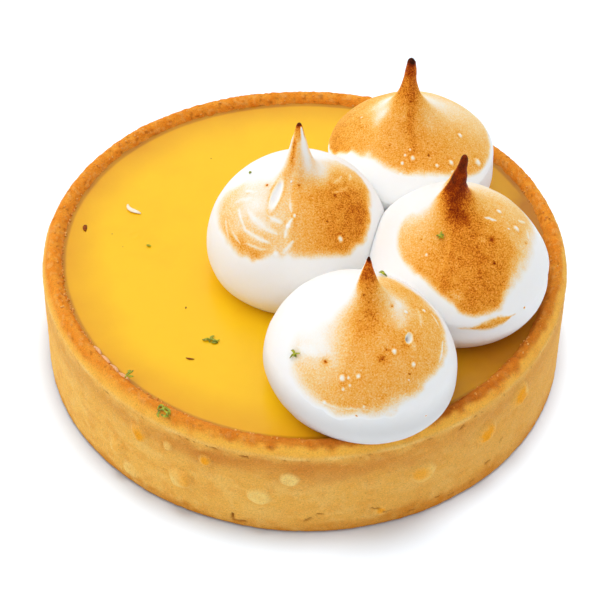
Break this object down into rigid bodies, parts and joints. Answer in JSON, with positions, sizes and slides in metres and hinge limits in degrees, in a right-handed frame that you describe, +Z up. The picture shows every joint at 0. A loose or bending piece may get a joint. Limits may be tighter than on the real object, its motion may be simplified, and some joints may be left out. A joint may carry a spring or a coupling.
{
  "type": "individual lemon meringue pie",
  "caption": "Round shortcrust tart case with straight walls, filled with lemon curd and topped with torched piped meringue kisses.",
  "frame": {"origin": "middle of the pastry case's flat underside, on the surface it stands on", "axes": "+Z up, +Y from the front kiss towards the back kiss, +X to the right"},
  "size_m": [0.0855, 0.0852, 0.046],
  "materials": {
    "pastry": "matt, granular, baked golden brown",
    "curd": "satin to glossy, slightly translucent",
    "meringue": "satin white foam with torched golden-brown tops",
    "zest": "moist green citrus peel"
  },
  "bodies": {
    "root": {"crust": "pastry", "curd": "curd", "kiss_back": "meringue", "kiss_left": "meringue", "kiss_right": "meringue", "kiss_front": "meringue"}
  },
  "joints": []
}
